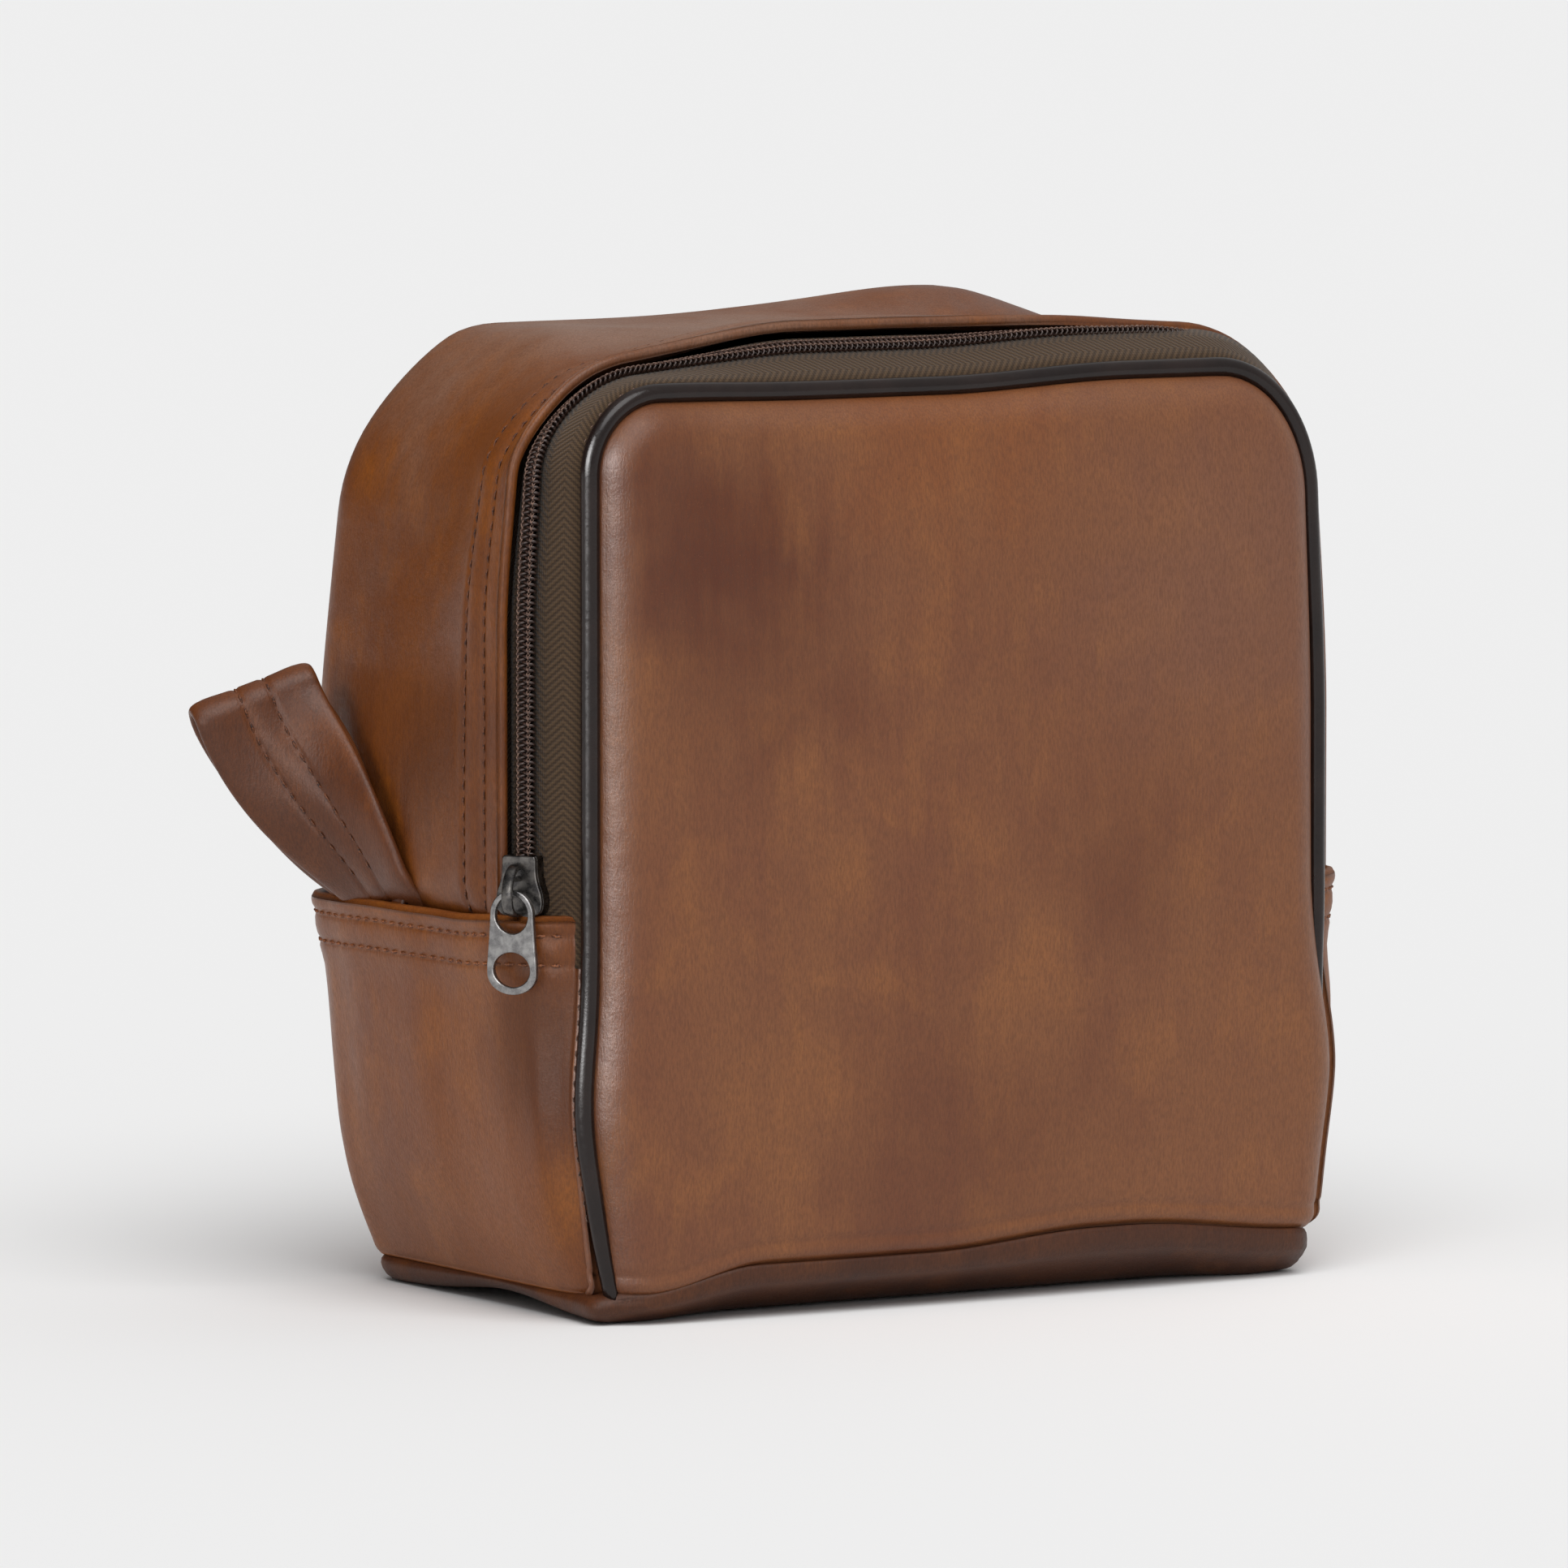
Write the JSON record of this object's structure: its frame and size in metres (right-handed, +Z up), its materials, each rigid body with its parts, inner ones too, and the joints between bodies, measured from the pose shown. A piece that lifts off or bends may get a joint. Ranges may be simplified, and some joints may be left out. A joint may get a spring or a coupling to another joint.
{
  "type": "shaving kit bag",
  "caption": "Upright box-shaped leather wash bag with a fold-down front flap closed by a zip round three sides, dark piping, a stitched lower skirt and a side strap loop.",
  "frame": {"origin": "middle of the base, on the surface that the bag stands on", "axes": "+Z up, +X right seen from the front, front flap faces -Y"},
  "size_m": [0.2376, 0.1139, 0.2008],
  "materials": {
    "leather_brown": "smooth pull-up leather, mottled orange-brown to dark brown, soft semi-gloss",
    "piping_dark": "smooth dark-brown welt piping, soft highlight",
    "zip_tape": "olive-brown herringbone zip tape",
    "zip_coil": "dark-brown nylon coil",
    "slider_gunmetal": "gunmetal plating, satin",
    "pull_tab_grey": "brushed grey plating",
    "lining_cloth": "plain dark-brown twill",
    "stiffener_board": "pressed fibreboard, hidden"
  },
  "bodies": {
    "root": {"upper_gusset": "leather_brown", "back_panel": "leather_brown", "lower_skirt": "leather_brown", "front_panel_lower": "leather_brown", "base_panel": "leather_brown", "base_board": "stiffener_board", "lining_body": "lining_cloth", "lining_front_lower": "lining_cloth", "piping_lower_left": "piping_dark", "piping_lower_right": "piping_dark", "zip_tape_rear": "zip_tape", "zip_coil_rear": "zip_coil", "handle_anchor": "leather_brown"},
    "flap": {"front_panel_upper": "leather_brown", "lining_flap": "lining_cloth", "piping_flap": "piping_dark", "zip_tape_front": "zip_tape", "zip_coil_front": "zip_coil"},
    "slider": {"zip_slider_body": "slider_gunmetal", "zip_slider_bridge": "slider_gunmetal", "zip_lock_pin": "slider_gunmetal"},
    "pull_tab": {"zip_pull_tab": "pull_tab_grey"},
    "handle": {"handle_strap": "leather_brown"}
  },
  "joints": [
    {"name": "flap_fold", "type": "hinge", "parent": "root", "child": "flap", "pos_m": [0, -0.059, 0.082], "axis": [1, 0, 0], "range_deg": [0, 100], "deforming": ["zip_tape_front", "zip_coil_front"]},
    {"name": "zip_travel", "type": "slide", "parent": "root", "child": "slider", "axis": [0, 0, 1], "range_m": [0, 0.06], "deforming": ["zip_tape_rear", "zip_coil_rear"]},
    {"name": "pull_tab_swing", "type": "hinge", "parent": "slider", "child": "pull_tab", "pos_m": [-0.10075, -0.03933, 0.088], "axis": [-0.5045, 0.8634, 0], "range_deg": [0, 150]},
    {"name": "handle_swing", "type": "hinge", "parent": "root", "child": "handle", "pos_m": [-0.1052, 0.013, 0.0826], "axis": [0, 1, 0], "range_deg": [-75, 0], "stiffness_Nm_per_rad": 0.03, "springref_deg": 8.59}
  ]
}
